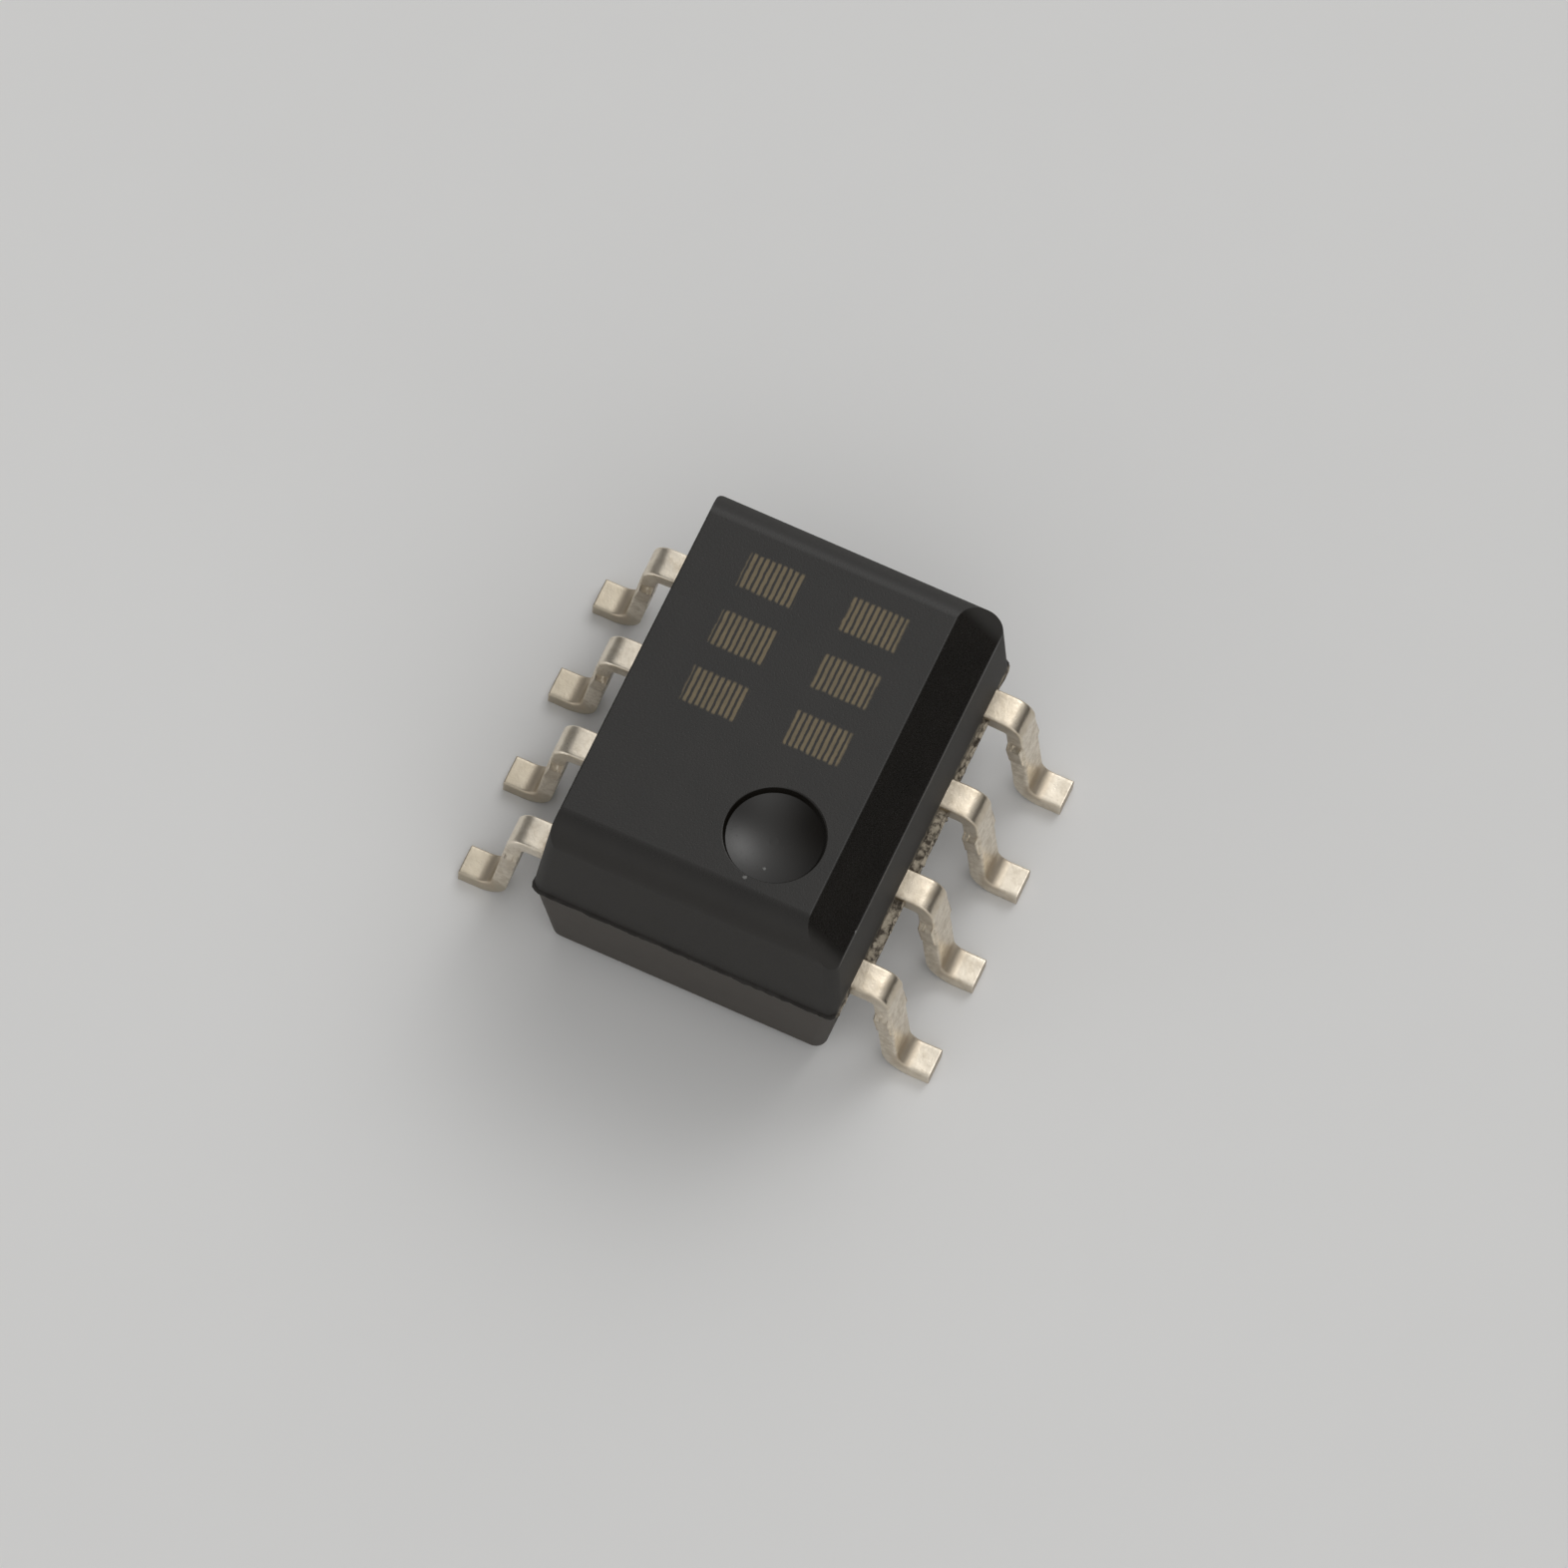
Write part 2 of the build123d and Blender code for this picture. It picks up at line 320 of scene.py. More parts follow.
def dimpleCutter():
    # a short steep wall and a bowl below it, sunk ring by ring from a disc
    radius = mouldForm["dimpleDiameter"] / 2
    wall = mouldForm["dimpleWall"]
    floorRadius = radius - wall * math.tan(math.radians(mouldForm["dimpleWallAngle"]))
    bowlDepth = mouldForm["dimpleDepth"] - wall
    bowlRadius = (floorRadius**2 + bowlDepth**2) / (2 * bowlDepth)
    above = 0.1
    bpy.ops.mesh.primitive_circle_add(
        vertices=mouldForm["dimpleSides"], radius=radius, fill_type="NGON",
        location=dimpleCentre + Vector((0, 0, above)))
    cutter = startPiece("dimpleCutter")
    bpy.ops.mesh.select_all(action="SELECT")
    extrudeBy(Vector((0, 0, -above)))
    extrudeBy(Vector((0, 0, -wall)))
    bpy.ops.transform.resize(value=(floorRadius / radius,) * 2 + (1,), center_override=dimpleCentre)
    rings = mouldForm["dimpleRings"]
    reach, depth = floorRadius, 0.0
    for ring in range(1, rings):
        newReach = floorRadius * (1 - ring / rings)
        newDepth = math.sqrt(bowlRadius**2 - newReach**2) - math.sqrt(bowlRadius**2 - floorRadius**2)
        extrudeBy(Vector((0, 0, depth - newDepth)))
        bpy.ops.transform.resize(value=(newReach / reach,) * 2 + (1,), center_override=dimpleCentre)
        reach, depth = newReach, newDepth
    closePiece()
    return cutter


def ragged(piece, seed, jitter, test):
    # breaks the edges of thin resin, as it tears when the moulding leaves its strip
    selectOnly(piece)
    bpy.ops.object.mode_set(mode="EDIT")
    pick("VERT", test)
    bpy.ops.transform.vertex_random(offset=jitter, uniform=1.0, seed=seed)
    bpy.ops.object.mode_set(mode="OBJECT")


def flashPlate():
    # the flash that crept between the mould halves: a thin plate with a torn edge
    thickness = mouldForm["lipThickness"]
    length, width = bodyLength + 2 * mouldForm["endLip"], bodyWidth + 2 * mouldForm["lip"]
    bpy.ops.mesh.primitive_plane_add(size=1, location=(0, 0, mouldForm["parting"] - thickness / 2))
    plate = bpy.context.object
    plate.scale = (length, width, 1)
    startPiece("flashPlate")
    bpy.ops.mesh.select_all(action="SELECT")
    bpy.ops.mesh.bevel(offset=mouldForm["corner"], segments=mouldForm["cornerSteps"], affect="VERTICES")
    pick("EDGE", lambda edge: along(edge).length > 1)
    bpy.ops.mesh.subdivide(number_cuts=150)
    bpy.ops.mesh.select_all(action="SELECT")
    extrudeBy(Vector((0, 0, thickness / 2)))
    extrudeBy(Vector((0, 0, thickness / 2)))
    drawIn(mouldForm["parting"] + thickness / 2, length, width, bodyLength - 0.02, bodyWidth - 0.02)
    closePiece()
    size, depth = mouldForm["lipTear"]
    applyModifier(plate, "DISPLACE", texture=cloudTexture("flashTear", size, 3), strength=depth, mid_level=1.0)
    ragged(plate, 7, 0.004, lambda vert: abs(vert.co.x) < length / 2 - 0.005)
    return plate


def resinWeb(gap, depth):
    # what the dam bar held back between two leads, broken off short
    root = mouldForm["webRoot"]
    place = ((gap - 1) * leadPitch, -(bodyWidth + depth - root) / 2, mouldForm["parting"])
    bpy.ops.mesh.primitive_cube_add(size=1, location=place)
    web = bpy.context.object
    web.scale = (leadPitch - mouldForm["webRoom"], depth + root, mouldForm["webThickness"])
    startPiece("resinWeb")
    pick("EDGE", lambda edge: abs(along(edge).x) > 0.5)
    bpy.ops.mesh.subdivide(number_cuts=60)
    pick("EDGE", lambda edge: abs(along(edge).x) < 1e-3)
    bpy.ops.mesh.subdivide(number_cuts=8)
    closePiece()
    tearSize, tearDepth = mouldForm["webTear"]
    applyModifier(web, "DISPLACE", texture=cloudTexture("webBreak", tearSize, 3), strength=tearDepth, mid_level=1.0)
    return web


def mouldedBody():
    bpy.ops.mesh.primitive_cube_add(size=1, location=(0, 0, (bodyLow.z + bodyHigh.z) / 2))
    bpy.context.object.scale = (bodyLength, bodyWidth, bodyHigh.z - bodyLow.z)
    body = startPiece("mouldedBody")
    bpy.ops.mesh.select_all(action="SELECT")
    bpy.ops.mesh.bisect(plane_co=(0, 0, mouldForm["parting"]), plane_no=(0, 0, 1), threshold=1e-6)
    inset = 2 * lowerHeight * math.tan(math.radians(mouldForm["lowerDraft"]))
    drawIn(bodyHigh.z, bodyLength, bodyWidth, 2 * upperEnd, 2 * upperSide)
    drawIn(bodyLow.z, bodyLength, bodyWidth, bodyLength - inset, bodyWidth - inset)
    pick("EDGE", lambda edge: abs(along(edge).z) > 0.5)
    bpy.ops.mesh.bevel(offset=mouldForm["corner"], segments=mouldForm["cornerSteps"], affect="EDGES")
    bpy.ops.mesh.select_all(action="SELECT")
    bpy.ops.mesh.bisect(
        plane_co=(0, -bevelEdge, bodyHigh.z), plane_no=(0, -1, 1), clear_outer=True, use_fill=True, threshold=1e-6)
    closePiece(weld=1e-4)
    bpy.ops.object.mode_set(mode="EDIT")
    slope = Vector((0, -1, 1)).normalized()

    def isRim(edge):
        flats = [face for face in edge.link_faces if abs(face.normal.z) > 0.99 or face.normal.dot(slope) > 0.99]
        return len(edge.link_faces) == 2 and bool(flats) and edge.calc_face_angle() > 0.3

    pick("EDGE", isRim)
    bpy.ops.mesh.bevel(offset=mouldForm["rim"], segments=5, affect="EDGES")
    bpy.ops.object.mode_set(mode="OBJECT")
    combine(body, endRounder(), "INTERSECT")
    combine(body, dimpleCutter(), "DIFFERENCE")
    selectOnly(body)
    bpy.ops.object.mode_set(mode="EDIT")

    def isDimpleRim(edge):
        reach = (middle(edge) - dimpleCentre).length
        return abs(reach - mouldForm["dimpleDiameter"] / 2) < 0.005 and abs(along(edge).z) < 1e-4

    pick("EDGE", isDimpleRim)
    bpy.ops.mesh.bevel(offset=mouldForm["dimpleRim"], segments=3, affect="EDGES")

    def endsTheTop(edge):
        level = [abs(face.normal.y) < 0.002 for face in edge.link_faces]
        return sum(level) == 1 and max(face.normal.z for face in edge.link_faces) > 0.1

    # the top and its rounded ends keep their own normals up to the rims at their sides
    pick("EDGE", lambda edge: middle(edge).z > bodyHigh.z - mouldForm["endRound"] and endsTheTop(edge))
    bpy.ops.mesh.mark_sharp()
    closePiece()
    webs = [resinWeb(gap, depth) for gap, depth in enumerate(mouldForm["webs"])]
    selectOnly(body, flashPlate(), *webs)
    bpy.ops.object.join()
    return body


# gull-wing leads

leadForm = {
    "width": 0.405,
    "thickness": 0.21,
    "tilt": 7.5,
    "reach": 0.40,
    "shoulderInside": 0.05,
    "footInside": 0.18,
    "roundedEdge": 0.035,
    "lowerEdge": 0.012,
    "stub": 0.045,  # left where the dam bar was cut away
    "stubTop": 1.41,
    "stubBottom": 0.96,
    "stubTaper": 0.6,
    "crown": 6.0,  # degrees that the shoulder falls before its bend
    "crownLength": 0.20,
    "joint": 0.05,  # how far inside the wall the shaped lead takes over from its inner end
    "plateWaves": 0.006,
    "waveSize": 0.22,
}


def riserDirection():
    tilt = math.radians(leadForm["tilt"])
    return Vector((0, math.sin(tilt), -math.cos(tilt)))


def shapedLead():
    # the strip's section is rounded first, then drawn along its path by extrude and spin
    width, thickness = leadForm["width"], leadForm["thickness"]
    turn = math.radians(90 - leadForm["tilt"])
    down = riserDirection()
    upperShoulder = leadForm["shoulderInside"] + thickness
    start = bodyWidth / 2 - leadForm["joint"]
    heel = Vector((0, leadHigh.y - leadForm["reach"], thickness))
    riser = (leadHigh.z - thickness) / -down.z
    shoulder = heel - down * riser
    bpy.ops.mesh.primitive_plane_add(
        size=1, location=(0, start, leadHigh.z - thickness / 2), rotation=(math.pi / 2, 0, 0))
    bpy.context.object.scale = (width, thickness, 1)
    lead = startPiece("shapedLead")
    pick("VERT", lambda vert: vert.co.z > leadHigh.z - 1e-4)
    bpy.ops.mesh.bevel(offset=leadForm["roundedEdge"], segments=6, affect="VERTICES")
    pick("VERT", lambda vert: vert.co.z < leadHigh.z - thickness + 1e-4)
    bpy.ops.mesh.bevel(offset=leadForm["lowerEdge"], segments=3, affect="VERTICES")
    pick("EDGE", lambda edge: abs(along(edge).x) > 0.2)
    bpy.ops.mesh.subdivide(number_cuts=11)
    pick("EDGE", lambda edge: abs(along(edge).z) > 0.1)
    bpy.ops.mesh.subdivide(number_cuts=4)
    bpy.ops.mesh.select_mode(type="FACE")
    bpy.ops.mesh.select_all(action="SELECT")
    crown = math.radians(leadForm["crown"])
    crownRadius = leadForm["crownLength"] / crown
    crownFall = crownRadius * (1 - math.cos(crown))
    bendFall = crownFall + upperShoulder * (math.cos(crown) - math.cos(turn))
    bendWidth = crownRadius * math.sin(crown) + upperShoulder * (math.sin(turn) - math.sin(crown))
    runFrom = bendFall / -down.z
    crownStart = shoulder.y + down.y * runFrom - bendWidth
    extrudeBy(Vector((0, crownStart - start, 0)), 4)
    bpy.ops.mesh.spin(steps=8, angle=crown, center=(0, crownStart, leadHigh.z - crownRadius), axis=(1, 0, 0))
    bendFrom = Vector((0, crownStart + crownRadius * math.sin(crown), leadHigh.z - crownFall))
    shoulderCentre = bendFrom - Vector((0, math.sin(crown), math.cos(crown))) * upperShoulder
    bpy.ops.mesh.spin(steps=18, angle=turn - crown, center=shoulderCentre, axis=(1, 0, 0))
    runTo = riser - leadForm["footInside"] * math.tan(turn / 2)
    cuts = [(leadHigh.z - leadForm[level]) / -down.z for level in ("stubTop", "stubBottom")]
    for begin, end in zip([runFrom] + cuts, cuts + [runTo]):
        extrudeBy(down * (end - begin), max(2, round((end - begin) / 0.04)))
    bendEnd = heel - down * leadForm["footInside"] * math.tan(turn / 2)
    outwards = Vector((0, -down.z, down.y))
    footCentre = bendEnd + outwards * leadForm["footInside"]
    bpy.ops.mesh.spin(steps=16, angle=-turn, center=footCentre, axis=(1, 0, 0))
    footStart = heel.y + leadForm["footInside"] * math.tan(turn / 2)
    extrudeBy(Vector((0, leadHigh.y - footStart, 0)), 10)
    closePiece()
    selectOnly(lead)
    bpy.ops.object.mode_set(mode="EDIT")
    for side in (-1, 1):
        pick("FACE", lambda face: face.normal.x * side > 0.95
             and leadForm["stubBottom"] < face.calc_center_median().z < leadForm["stubTop"])
        extrudeBy(Vector((side * leadForm["stub"], 0, 0)))
        stubMiddle = (leadForm["stubTop"] + leadForm["stubBottom"]) / 2
        bpy.ops.transform.resize(value=(1, 1, leadForm["stubTaper"]), center_override=(0, 0, stubMiddle))
    pick("EDGE", lambda edge: len(edge.link_faces) == 2 and edge.calc_face_angle() > 0.9)
    bpy.ops.mesh.bevel(offset=leadForm["lowerEdge"], segments=2, affect="EDGES")
    closePiece()
    return lead


def innerEnd(number):
    # the part of a lead that the moulding hides, cut from a copy of the frame's own lead
    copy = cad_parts[f"lead_{number}"].copy()
    copy.data = copy.data.copy()
    copy.parent = None
    for key in list(copy.keys()):
        del copy[key]
    bpy.context.scene.collection.objects.link(copy)
    copy.name = f"innerEnd{number}"
    selectOnly(copy)
    copy.scale = (perMetre,) * 3
    bpy.ops.object.transform_apply(location=True, rotation=True, scale=True)
    side = -1 if number <= 4 else 1
    bpy.ops.object.mode_set(mode="EDIT")
    bpy.ops.mesh.select_all(action="SELECT")
    bpy.ops.mesh.remove_doubles(threshold=1e-5)
    edge = bodyWidth / 2 - leadForm["joint"] + 0.01
    bpy.ops.mesh.bisect(
        plane_co=(0, side * edge, 0), plane_no=(0, side, 0), clear_outer=True, use_fill=True, threshold=1e-6)
    closePiece()
    return copy


def leadPlace(number):
    # pins 1 to 4 run along +X on the -Y side, and pins 5 to 8 run back
    station = number - 1 if number <= 4 else 8 - number
    turn = math.pi if number <= 4 else 0
    return Matrix.Translation(((station - 1.5) * leadPitch, 0, 0)) @ Matrix.Rotation(turn, 4, "Z")


def gullWingLeads(material):
    pattern = shapedLead()
    waves = cloudTexture("plateWaves", leadForm["waveSize"], 1)
    for number in range(1, 9):
        lead = pattern.copy()
        lead.data = pattern.data.copy()
        bpy.context.scene.collection.objects.link(lead)
        lead.name = f"gullWingLead{number}"
        lead.matrix_world = leadPlace(number)
        selectOnly(lead)
        bpy.ops.object.transform_apply(location=True, rotation=True, scale=True)
        applyModifier(lead, "DISPLACE", texture=waves, strength=leadForm["plateWaves"], mid_level=1.0)
        selectOnly(lead, innerEnd(number))
        bpy.ops.object.join()
        finishPiece(lead, material, "tin_plate", f"lead_{number}")
    bpy.data.objects.remove(pattern)


# finishes

epoxyLook = {
    "dark": rgb(0.0052, 0.0042, 0.0030),
    "pale": rgb(0.0080, 0.0066, 0.0050),
    "wall": rgb(0.020, 0.018, 0.0155),
    "lowerWall": rgb(0.060, 0.053, 0.0455),
    # the parting line's dark band: the torn flash's own dark resin, with painted shade under the lip
    "seamShade": rgb(0.020, 0.0175, 0.015),
    "resin": rgb(0.42, 0.37, 0.29),
    "resinShade": rgb(0.075, 0.062, 0.048),
    "mark": rgb(0.19, 0.145, 0.075),
    "speck": rgb(0.14, 0.14, 0.135),
    "specks": (  # centre and radius
        ((-1.722, -0.620, 3.243), 0.020),
        ((-1.980, -0.482, 3.40), 0.024),
        ((-1.855, -1.868, 2.90), 0.022),
    ),
    "roughness": 0.28,
    "wallRoughness": 0.45,  # how much rougher the walls are
    "dimpleRoughness": 0.23,
    "grain": 46,  # grains, blotches, pits and crumbs to a millimetre
    "mottle": 1.7,
    "pits": 19,
    "crumbs": 11,
    "grainDepth": 0.0018,
}

# plain hatched blocks burnt into the top by a laser, in two rows of three
markForm = {
    "rows": (0.80, -0.52),
    "middle": 0.78,
    "pitch": 0.80,
    "length": 0.46,
    "width": 0.70,
    "hatch": 0.075,
}


def laserBlocks(place):
    x, y, z = place.axes()
    above, below = (abs(y - row) for row in markForm["rows"])
    fromRow = place.math("MINIMUM", above, below)
    fromBlock = place.math("PINGPONG", x - markForm["middle"], markForm["pitch"] / 2)
    uneven = (place.noise(11, detail=3) - 0.5) * 0.05
    inRow = 1 - (fromRow + uneven).ease(markForm["width"] / 2 - 0.02, markForm["width"] / 2 + 0.02)
    inBlock = 1 - (fromBlock + uneven).ease(markForm["length"] / 2 - 0.02, markForm["length"] / 2 + 0.02)
    three = 1 - abs(x - markForm["middle"]).ease(markForm["pitch"] * 1.45, markForm["pitch"] * 1.5)
    lines = place.math("PINGPONG", y + uneven * 0.4, markForm["hatch"] / 2)
    hatch = lines.ease(markForm["hatch"] * 0.12, markForm["hatch"] * 0.3)
    burnt = 0.45 + place.noise(5, detail=4, roughness=0.65) * 0.6
    return inRow * inBlock * three * hatch * burnt * z.ease(bodyHigh.z - 0.02, bodyHigh.z - 0.005)


def stuckSpecks(place):
    # a few pale grains that stuck to the top and the dimple
    uneven = (place.noise(45, detail=2) - 0.5) * 1.6
    nearest = 3.0  # in radii
    for centre, radius in epoxyLook["specks"]:
        fromSpeck = place.node("VectorMath", {"operation": "DISTANCE"}, {0: place, 1: centre}, out="Value")
        nearest = place.math("MINIMUM", fromSpeck / radius, nearest)
    return 1 - (nearest + uneven).ease(0.6, 1.2)


def mouldedEpoxy():
    material, place = newMaterial("mouldedEpoxy")
    x, y, z = place.axes()
    grain = place.noise(epoxyLook["grain"], detail=3, roughness=0.6)
    mottle = place.noise(epoxyLook["mottle"], detail=4, roughness=0.55)
    pits = 1 - place.cells(epoxyLook["pits"]).ease(0.05, 0.2)
    fromParting = abs(z - mouldForm["parting"])
    tear = (place.noise(7, detail=3) - 0.5) * 0.07
    # painted shade along the parting line, partly the flash's own dark resin and partly the shade under its lip
    seamShade = 1 - (fromParting + tear).ease(0.02, 0.075)
    broken = (0 - y).ease(bodyWidth / 2 - 0.03, bodyWidth / 2 + 0.01) * (1 - (fromParting + tear).ease(0.09, 0.15))
    reach = ((x - dimpleCentre.x) ** 2 + (y - dimpleCentre.y) ** 2) ** 0.5
    radius = mouldForm["dimpleDiameter"] / 2
    dimple = (1 - reach.ease(radius - 0.02, radius)) * (1 - z.ease(bodyHigh.z - 0.03, bodyHigh.z - 0.01))
    crumbs = place.noise(epoxyLook["crumbs"], detail=4, roughness=0.65).ease(0.38, 0.60)
    lowest = bodyHigh.z - mouldForm["bevel"]
    sides = (1 - z.ease(lowest - 0.06, lowest)).atLeast(y.ease(upperSide - 0.01, upperSide + 0.01))
    walls = sides.atLeast(abs(x).ease(upperEnd - 0.30, upperEnd - 0.01))
    cloudy = 0.75 + mottle * 0.5
    smooth = mottle.ease(0.3, 0.7).blend(epoxyLook["dark"], epoxyLook["pale"])
    upper = (walls * cloudy).blend(smooth, epoxyLook["wall"])
    lowerHalf = 1 - z.ease(mouldForm["parting"] - 0.05, mouldForm["parting"])
    plain = (lowerHalf * cloudy).blend(upper, epoxyLook["lowerWall"])
    marked = laserBlocks(place)
    shadedSeamAndMark = marked.blend(seamShade.blend(plain, epoxyLook["seamShade"]), epoxyLook["mark"])
    resin = crumbs.blend(epoxyLook["resinShade"], epoxyLook["resin"])
    colour = stuckSpecks(place).blend(broken.blend(shadedSeamAndMark, resin), epoxyLook["speck"])
    ground = epoxyLook["roughness"] + (grain - 0.5) * 0.12 + walls * epoxyLook["wallRoughness"]
    worked = ground + broken * 0.3 + marked * 0.15
    roughness = worked + dimple * (epoxyLook["dimpleRoughness"] - epoxyLook["roughness"])
    height = grain * (1 - dimple * 0.7) - pits * 0.6
    surface(place, height, 0.6, epoxyLook["grainDepth"], Base_Color=colour, Roughness=roughness, IOR=1.48)
    return material


tinLook = {
    "bright": rgb(0.82, 0.745, 0.625),
    "dull": rgb(0.65, 0.575, 0.46),
    "cut": rgb(0.52, 0.46, 0.38),
    # painted shade and tarnish for the hollow of the heel
    "heel": rgb(0.56, 0.48, 0.375),
    # painted shade for the feet of pins 5 to 8
    "shoulderStain": rgb(0.50, 0.42, 0.31),
    "farFoot": rgb(0.50, 0.44, 0.34),
    "roughness": 0.23,
    "grain": 34,  # grains, smears and stains to a millimetre
    "smear": 7,
    "stains": 12,
    "grainDepth": 0.003,
}


def tinPlate():
    material, place = newMaterial("tinPlate")
    x, y, z = place.axes()
    grain = place.noise(tinLook["grain"], detail=3, roughness=0.6)
    smear = place.noise(tinLook["smear"], detail=3, roughness=0.6)
    toe = abs(y).ease(leadHigh.y - 0.012, leadHigh.y - 0.004)
    offStation = leadPitch / 2 - place.math("PINGPONG", x, leadPitch / 2)
    cutSide = offStation.ease(leadForm["width"] / 2 + 0.03, leadForm["width"] / 2 + 0.04) * 0.35
    cut = toe.atLeast(cutSide * z.ease(0.9, 0.95))
    plate = smear.ease(0.42, 0.75).blend(tinLook["bright"], tinLook["dull"])
    # painted shade and tarnish in the hollow of the heel, and tarnish in patches along the wall and the riser
    outwards = abs(y)
    heelAt = leadHigh.y - leadForm["reach"]
    heelShadeAndTarnish = (1 - abs(outwards - heelAt - 0.03).ease(0.07, 0.16)) * (1 - abs(z - 0.30).ease(0.08, 0.20))
    patches = place.noise(tinLook["stains"], detail=4, roughness=0.7).ease(0.40, 0.62)
    byWall = 1 - outwards.ease(bodyWidth / 2 + 0.03, bodyWidth / 2 + 0.16)
    riser = z.ease(0.25, 0.4) * (1 - z.ease(1.55, 1.75))
    stain = (byWall * 0.75).atLeast(riser * 0.45) * patches
    nearShoulder = (0 - y).ease(0.5, 1.0) * z.ease(1.55, 1.75) * 0.45
    # painted shade: the feet of pins 5 to 8, on the +Y side, are dulled towards a darker brown
    farFoot = y.ease(0.5, 1.0) * (1 - z.ease(0.3, 0.5)) * 0.8
    shadedFarFeet = farFoot.blend(plate, tinLook["farFoot"])
    stainedAndShaded = stain.atLeast(nearShoulder).blend(shadedFarFeet, tinLook["shoulderStain"])
    tarnishedAndShaded = (heelShadeAndTarnish * 0.8).blend(stainedAndShaded, tinLook["heel"])
    colour = cut.blend(tarnishedAndShaded, tinLook["cut"])
    roughness = tinLook["roughness"] + smear * 0.16 + (grain - 0.5) * 0.12 + cut * 0.2 + stain * 0.1 + heelShadeAndTarnish * 0.15
    surface(place, grain + smear * 0.8, 0.6, tinLook["grainDepth"],
            Base_Color=colour, Roughness=roughness, Metallic=1.0)
    return material


innerLooks = {
    "emitter_crystal": {"low": rgb(0.20, 0.10, 0.05), "high": rgb(0.30, 0.16, 0.08), "roughness": 0.25, "metal": 0.0},
    "silicon": {"low": rgb(0.16, 0.17, 0.20), "high": rgb(0.24, 0.25, 0.28), "roughness": 0.2, "metal": 0.6},
    "silver_adhesive": {"low": rgb(0.55, 0.55, 0.54), "high": rgb(0.70, 0.69, 0.67), "roughness": 0.5, "metal": 0.7},
    "gold_wire": {"low": rgb(0.90, 0.62, 0.24), "high": rgb(0.98, 0.74, 0.34), "roughness": 0.25, "metal": 1.0},
}
innerNodes = {
    "emitter_chip": "emitter_crystal",
    "detector_chip": "silicon",
    "emitter_adhesive": "silver_adhesive",
    "detector_adhesive": "silver_adhesive",
    "emitter_wire": "gold_wire",
    "output_wire": "gold_wire",
    "enable_wire": "gold_wire",
    "supply_wire": "gold_wire",
    "ground_wire": "gold_wire",
}


def grainedFinish(name, look):
    material, place = newMaterial(name)
    grain = place.noise(60, detail=3)
    cloud = place.noise(9, detail=2)
    colour = cloud.ease(0.35, 0.65).blend(look["low"], look["high"])
    roughness = look["roughness"] + (grain - 0.5) * 0.15
    surface(place, grain, 0.4, 0.001, Base_Color=colour, Roughness=roughness, Metallic=look["metal"])
    return material


def clearSilicone():
    material, place = newMaterial("clearSilicone")
    cloud = place.noise(14, detail=2)
    colour = cloud.blend(rgb(0.90, 0.90, 0.86), rgb(0.97, 0.97, 0.95))
    surface(place, cloud, 0.3, 0.002, Base_Color=colour, Roughness=0.1 + cloud * 0.1,
            IOR=1.41, Transmission_Weight=0.9)
    return material


def dress(nodeName, material):
    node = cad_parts[nodeName]
    node.data.materials.clear()
    node.data.materials.append(material)


# floor, light and camera

stageLook = {
    "size": 0.6,  # metres
    "card": rgb(0.785, 0.785, 0.782),
    "cardShade": rgb(0.77, 0.77, 0.767),
}


def paleFloor():
    bpy.ops.mesh.primitive_plane_add(size=stageLook["size"])
    floor = bpy.context.object
    floor.name = "floor"
    material, place = newMaterial("paleCard")
    fibre = place.noise(0.6, detail=5, roughness=0.6)
    colour = fibre.blend(stageLook["cardShade"], stageLook["card"])
    surface(place, fibre, 0.2, 0.01, Base_Color=colour, Roughness=0.9, IOR=1.2)
    floor.data.materials.append(material)


skyLook = {
    "tint": rgb(1.0, 0.995, 0.985),
    # where each soft patch of light stands, how bright it is, and how tight
    "patches": (
        ((0.58, -0.27, 0.77), 2.10, 40),  # window behind, to the right
        ((0.50, -0.15, 0.85), 0.48, 20),
        ((0.33, 0.12, 0.94), 0.45, 14),
        ((0.71, 0.29, 0.64), 0.74, 11),
        ((0.69, -0.14, 0.71), 1.20, 34),
        ((0.71, -0.29, 0.64), 0.30, 11),
        ((0.37, -0.66, 0.65), 0.40, 24),
        ((-0.26, -0.26, 0.93), 1.18, 11),  # ceiling
        ((0.26, -0.26, 0.93), 0.08, 11),
        ((-0.29, -0.71, 0.64), 0.48, 11),
        ((-0.71, -0.29, 0.64), 0.47, 11),
        ((-0.71, 0.29, 0.64), 0.27, 11),
        ((-0.70, 0.70, 0.17), 1.20, 11),  # pale walls round about
        ((0.0, 0.98, 0.17), 0.44, 11),
        ((0.98, 0.0, 0.17), 0.60, 11),
        ((-0.98, 0.0, 0.17), 0.42, 11),
        ((-0.70, -0.70, 0.17), 0.63, 11),
    ),
}


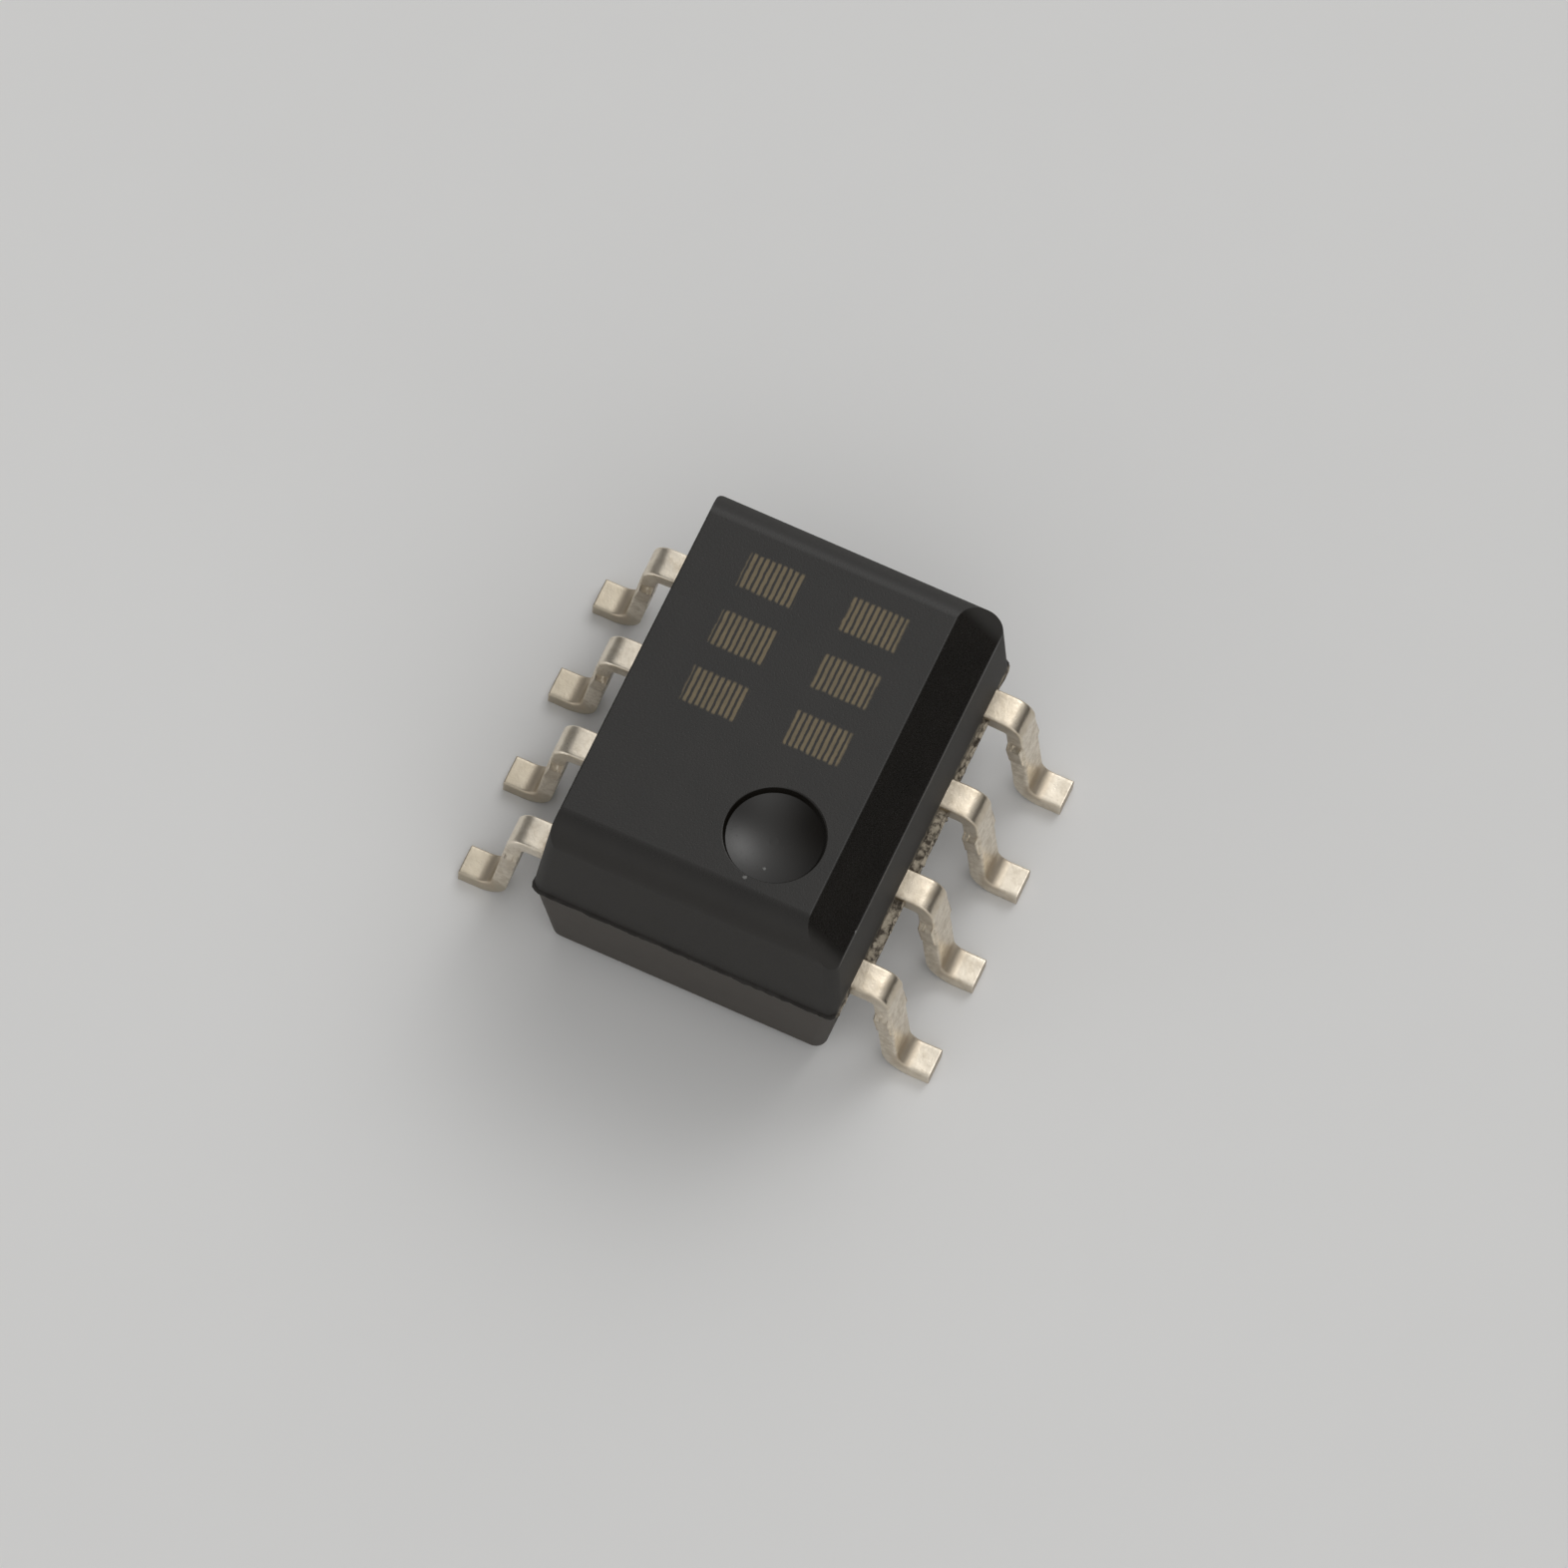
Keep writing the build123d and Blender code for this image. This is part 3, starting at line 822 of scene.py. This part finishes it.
def softSky():
    world = bpy.data.worlds.new("softSky")
    bpy.context.scene.world = world
    world.use_nodes = True
    world.node_tree.nodes.clear()
    direction = Shade(world.node_tree).node("TexCoord", out="Generated")
    strength = 0.0
    for patch, level, tightness in skyLook["patches"]:
        facing = direction.node(
            "VectorMath", {"operation": "DOT_PRODUCT"}, {0: direction, 1: Vector(patch).normalized()}, out="Value")
        strength = facing.atLeast(0.0) ** tightness * level + strength
    light = direction.node("Background", inputs={"Color": skyLook["tint"], "Strength": strength})
    output = world.node_tree.nodes.new("ShaderNodeOutputWorld")
    world.node_tree.links.new(light.socket, output.inputs["Surface"])


viewFrom = {
    "azimuth": -70.98,  # degrees
    "elevation": 66.75,
    "roll": 5.884,
    "distance": 0.18064,
    "target": Vector((0, 0, 0.0015)),
    "aside": Vector((0.0001518, -0.0000069)),  # how far the picture's middle lies from the target
    "picture": 1572,  # pixels
    "focal": 15390.8,  # pixels
}


def photoCamera():
    azimuth, elevation, roll = (math.radians(viewFrom[name]) for name in ("azimuth", "elevation", "roll"))
    back = Vector((math.sin(azimuth) * math.cos(elevation), -math.cos(azimuth) * math.cos(elevation),
                   math.sin(elevation)))
    level = Vector((math.cos(azimuth), math.sin(azimuth), 0))
    upright = back.cross(level)
    right = level * math.cos(roll) + upright * math.sin(roll)
    up = upright * math.cos(roll) - level * math.sin(roll)
    data = bpy.data.cameras.new("photoCamera")
    data.sensor_width = 36
    data.lens = data.sensor_width * viewFrom["focal"] / viewFrom["picture"]
    data.clip_start = 0.01
    camera = bpy.data.objects.new("photoCamera", data)
    bpy.context.scene.collection.objects.link(camera)
    place = viewFrom["target"] + right * viewFrom["aside"].x + up * viewFrom["aside"].y + back * viewFrom["distance"]
    camera.matrix_world = Matrix.Translation(place) @ Matrix((right, up, back)).transposed().to_4x4()
    bpy.context.scene.camera = camera


# build

finishPiece(mouldedBody(), mouldedEpoxy(), "moulding", "moulded_body")
print("moulded body shaped")
gullWingLeads(tinPlate())
print("eight leads shaped")
innerMaterials = {slot: grainedFinish(slot, look) for slot, look in innerLooks.items()}
for nodeName, slot in innerNodes.items():
    dress(nodeName, innerMaterials[slot])
dress("light_guide", clearSilicone())
print("inner pieces dressed")
paleFloor()
softSky()
photoCamera()
bpy.context.scene.view_settings.view_transform = "Standard"
print("floor, light and camera set")
